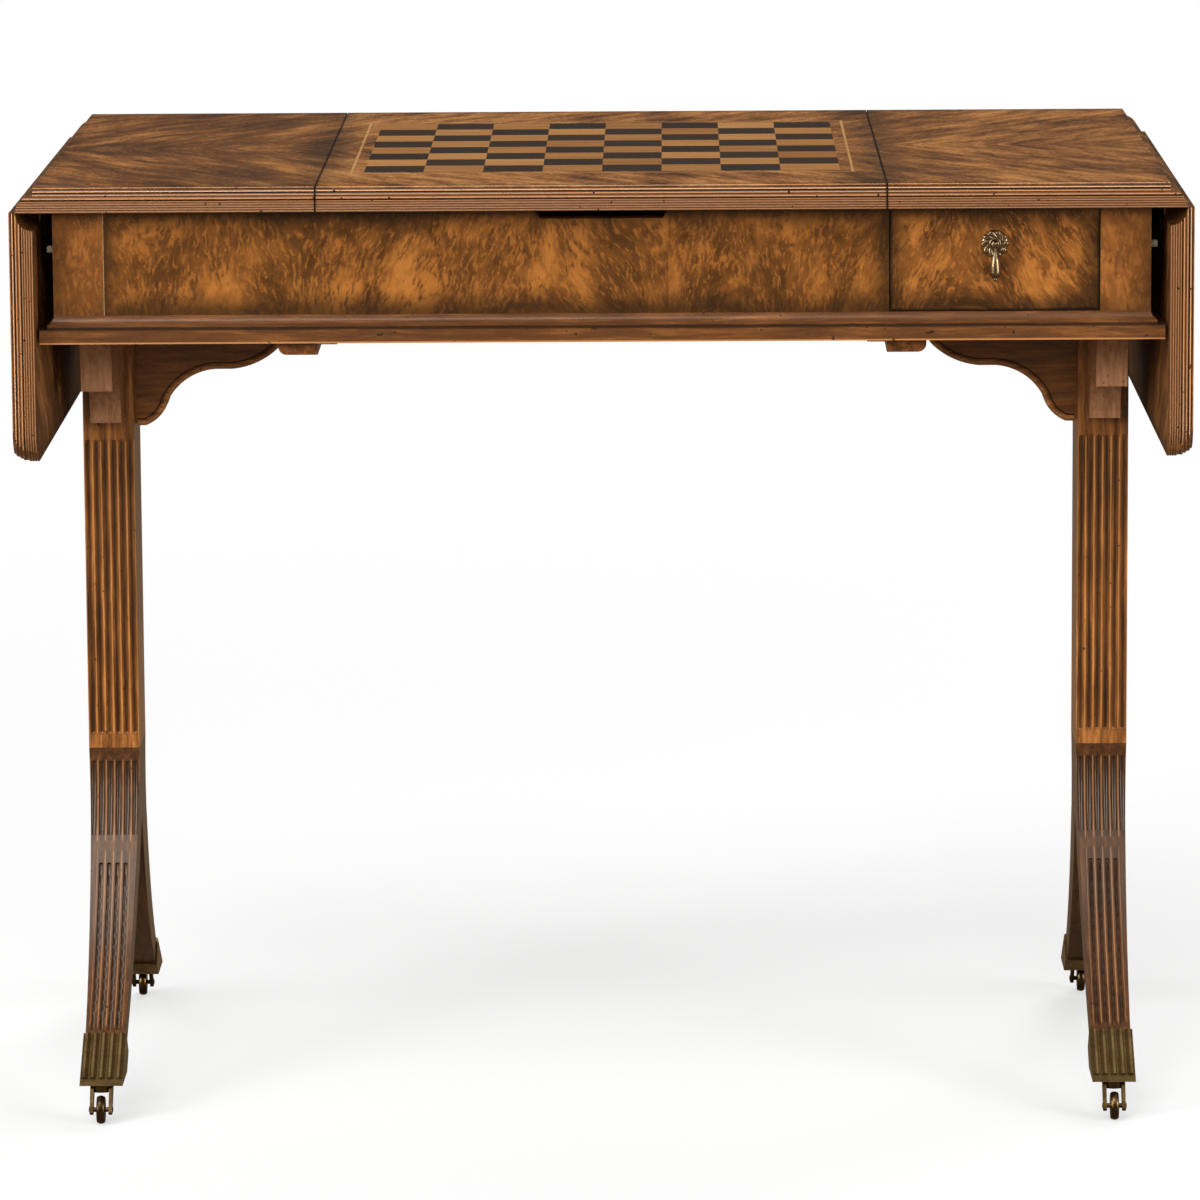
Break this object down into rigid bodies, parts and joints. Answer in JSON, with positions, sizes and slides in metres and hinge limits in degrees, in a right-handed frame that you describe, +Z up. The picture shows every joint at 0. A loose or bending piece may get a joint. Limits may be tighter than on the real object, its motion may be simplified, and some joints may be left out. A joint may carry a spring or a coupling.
{
  "type": "games table",
  "caption": "Pillar-end games table with hanging drop leaves, lift-out chessboard panel over a backgammon well, opposed drawers and sabre legs on brass casters.",
  "frame": {"origin": "on the floor under the middle of the table", "axes": "+X along the table to the right of the front, +Y to the back, +Z up; the front faces -Y"},
  "size_m": [0.954, 0.61, 0.787],
  "materials": {
    "mahogany": "figured, gloss polished",
    "light_inlay": "gloss polished",
    "dark_inlay": "gloss polished",
    "well_lining": "satin",
    "drawer_lining": "plain, waxed",
    "hinge_brass": "satin",
    "pull_brass": "antique",
    "caster_brass": "antique",
    "buffer": "matt"
  },
  "bodies": {
    "table": {"end_top_left": "mahogany", "end_top_right": "mahogany", "front_panel": "mahogany", "back_panel": "mahogany", "end_rail_left": "mahogany", "end_rail_right": "mahogany", "corner_posts": "mahogany", "case_floor": "drawer_lining", "base_mouldings": "mahogany", "well_walls": "mahogany", "well_floor": "well_lining", "backgammon_light_points": "light_inlay", "backgammon_dark_points": "dark_inlay", "table_hinge_flaps": "hinge_brass", "hinge_pins": "hinge_brass", "drawer_runners": "drawer_lining", "loper_guides": "drawer_lining", "leaf_buffers": "buffer", "cross_battens": "mahogany", "batten_plates": "hinge_brass", "pillar_left": "mahogany", "pillar_right": "mahogany", "corbels": "mahogany", "spandrel_brackets": "mahogany", "caster_caps": "caster_brass", "leg_left_front": "mahogany", "leg_right_front": "mahogany", "leg_left_back": "mahogany", "leg_right_back": "mahogany"},
    "left_leaf": {"left_leaf": "mahogany", "left_leaf_hinge_flaps": "hinge_brass"},
    "right_leaf": {"right_leaf": "mahogany", "right_leaf_hinge_flaps": "hinge_brass"},
    "game_panel": {"game_panel": "mahogany", "board_stringing": "light_inlay", "board_light_squares": "light_inlay", "board_dark_squares": "dark_inlay"},
    "front_drawer": {"front_drawer_front": "mahogany", "front_drawer_carcass": "drawer_lining", "front_drawer_bottom": "drawer_lining", "front_pull_rosette": "pull_brass"},
    "front_pull": {"front_pull_drop": "pull_brass"},
    "back_drawer": {"back_drawer_front": "mahogany", "back_drawer_carcass": "drawer_lining", "back_drawer_bottom": "drawer_lining", "back_pull_rosette": "pull_brass"},
    "back_pull": {"back_pull_drop": "pull_brass"},
    "loper_left_front": {"loper_left_front": "mahogany"},
    "loper_right_front": {"loper_right_front": "mahogany"},
    "loper_left_back": {"loper_left_back": "mahogany"},
    "loper_right_back": {"loper_right_back": "mahogany"},
    "caster_left_front": {"caster_fork_left_front": "caster_brass"},
    "wheel_left_front": {"caster_wheel_left_front": "caster_brass"},
    "caster_right_front": {"caster_fork_right_front": "caster_brass"},
    "wheel_right_front": {"caster_wheel_right_front": "caster_brass"},
    "caster_left_back": {"caster_fork_left_back": "caster_brass"},
    "wheel_left_back": {"caster_wheel_left_back": "caster_brass"},
    "caster_right_back": {"caster_fork_right_back": "caster_brass"},
    "wheel_right_back": {"caster_wheel_right_back": "caster_brass"}
  },
  "joints": [
    {"name": "left_leaf_hinge", "type": "hinge", "parent": "table", "child": "left_leaf", "pos_m": [-0.457, 0, 0.767], "axis": [0, 1, 0], "range_deg": [0, 90]},
    {"name": "right_leaf_hinge", "type": "hinge", "parent": "table", "child": "right_leaf", "pos_m": [0.457, 0, 0.767], "axis": [0, -1, 0], "range_deg": [0, 90]},
    {"name": "game_panel_lift", "type": "slide", "parent": "table", "child": "game_panel", "axis": [0, 0, 1], "range_m": [0, 0.15]},
    {"name": "front_drawer_slide", "type": "slide", "parent": "table", "child": "front_drawer", "axis": [0, -1, 0], "range_m": [0, 0.27]},
    {"name": "front_pull_swing", "type": "hinge", "parent": "front_drawer", "child": "front_pull", "pos_m": [0.31725, -0.2888, 0.736], "axis": [-1, 0, 0], "range_deg": [0, 95]},
    {"name": "back_drawer_slide", "type": "slide", "parent": "table", "child": "back_drawer", "axis": [0, 1, 0], "range_m": [0, 0.27]},
    {"name": "back_pull_swing", "type": "hinge", "parent": "back_drawer", "child": "back_pull", "pos_m": [-0.31725, 0.2888, 0.736], "axis": [1, 0, 0], "range_deg": [0, 95]},
    {"name": "loper_left_front_slide", "type": "slide", "parent": "table", "child": "loper_left_front", "axis": [-1, 0, 0], "range_m": [0, 0.012]},
    {"name": "loper_right_front_slide", "type": "slide", "parent": "table", "child": "loper_right_front", "axis": [1, 0, 0], "range_m": [0, 0.012]},
    {"name": "loper_left_back_slide", "type": "slide", "parent": "table", "child": "loper_left_back", "axis": [-1, 0, 0], "range_m": [0, 0.012]},
    {"name": "loper_right_back_slide", "type": "slide", "parent": "table", "child": "loper_right_back", "axis": [1, 0, 0], "range_m": [0, 0.012]},
    {"name": "caster_left_front_swivel", "type": "hinge", "parent": "table", "child": "caster_left_front", "pos_m": [-0.4205, -0.226, 0.029], "axis": [0, 0, 1], "continuous": true},
    {"name": "wheel_left_front_roll", "type": "hinge", "parent": "caster_left_front", "child": "wheel_left_front", "pos_m": [-0.4205, -0.24, 0.0117], "axis": [1, 0, 0], "continuous": true},
    {"name": "caster_right_front_swivel", "type": "hinge", "parent": "table", "child": "caster_right_front", "pos_m": [0.4205, -0.226, 0.029], "axis": [0, 0, 1], "continuous": true},
    {"name": "wheel_right_front_roll", "type": "hinge", "parent": "caster_right_front", "child": "wheel_right_front", "pos_m": [0.4205, -0.24, 0.0117], "axis": [1, 0, 0], "continuous": true},
    {"name": "caster_left_back_swivel", "type": "hinge", "parent": "table", "child": "caster_left_back", "pos_m": [-0.4205, 0.226, 0.029], "axis": [0, 0, 1], "continuous": true},
    {"name": "wheel_left_back_roll", "type": "hinge", "parent": "caster_left_back", "child": "wheel_left_back", "pos_m": [-0.4205, 0.24, 0.0117], "axis": [1, 0, 0], "continuous": true},
    {"name": "caster_right_back_swivel", "type": "hinge", "parent": "table", "child": "caster_right_back", "pos_m": [0.4205, 0.226, 0.029], "axis": [0, 0, 1], "continuous": true},
    {"name": "wheel_right_back_roll", "type": "hinge", "parent": "caster_right_back", "child": "wheel_right_back", "pos_m": [0.4205, 0.24, 0.0117], "axis": [1, 0, 0], "continuous": true}
  ]
}
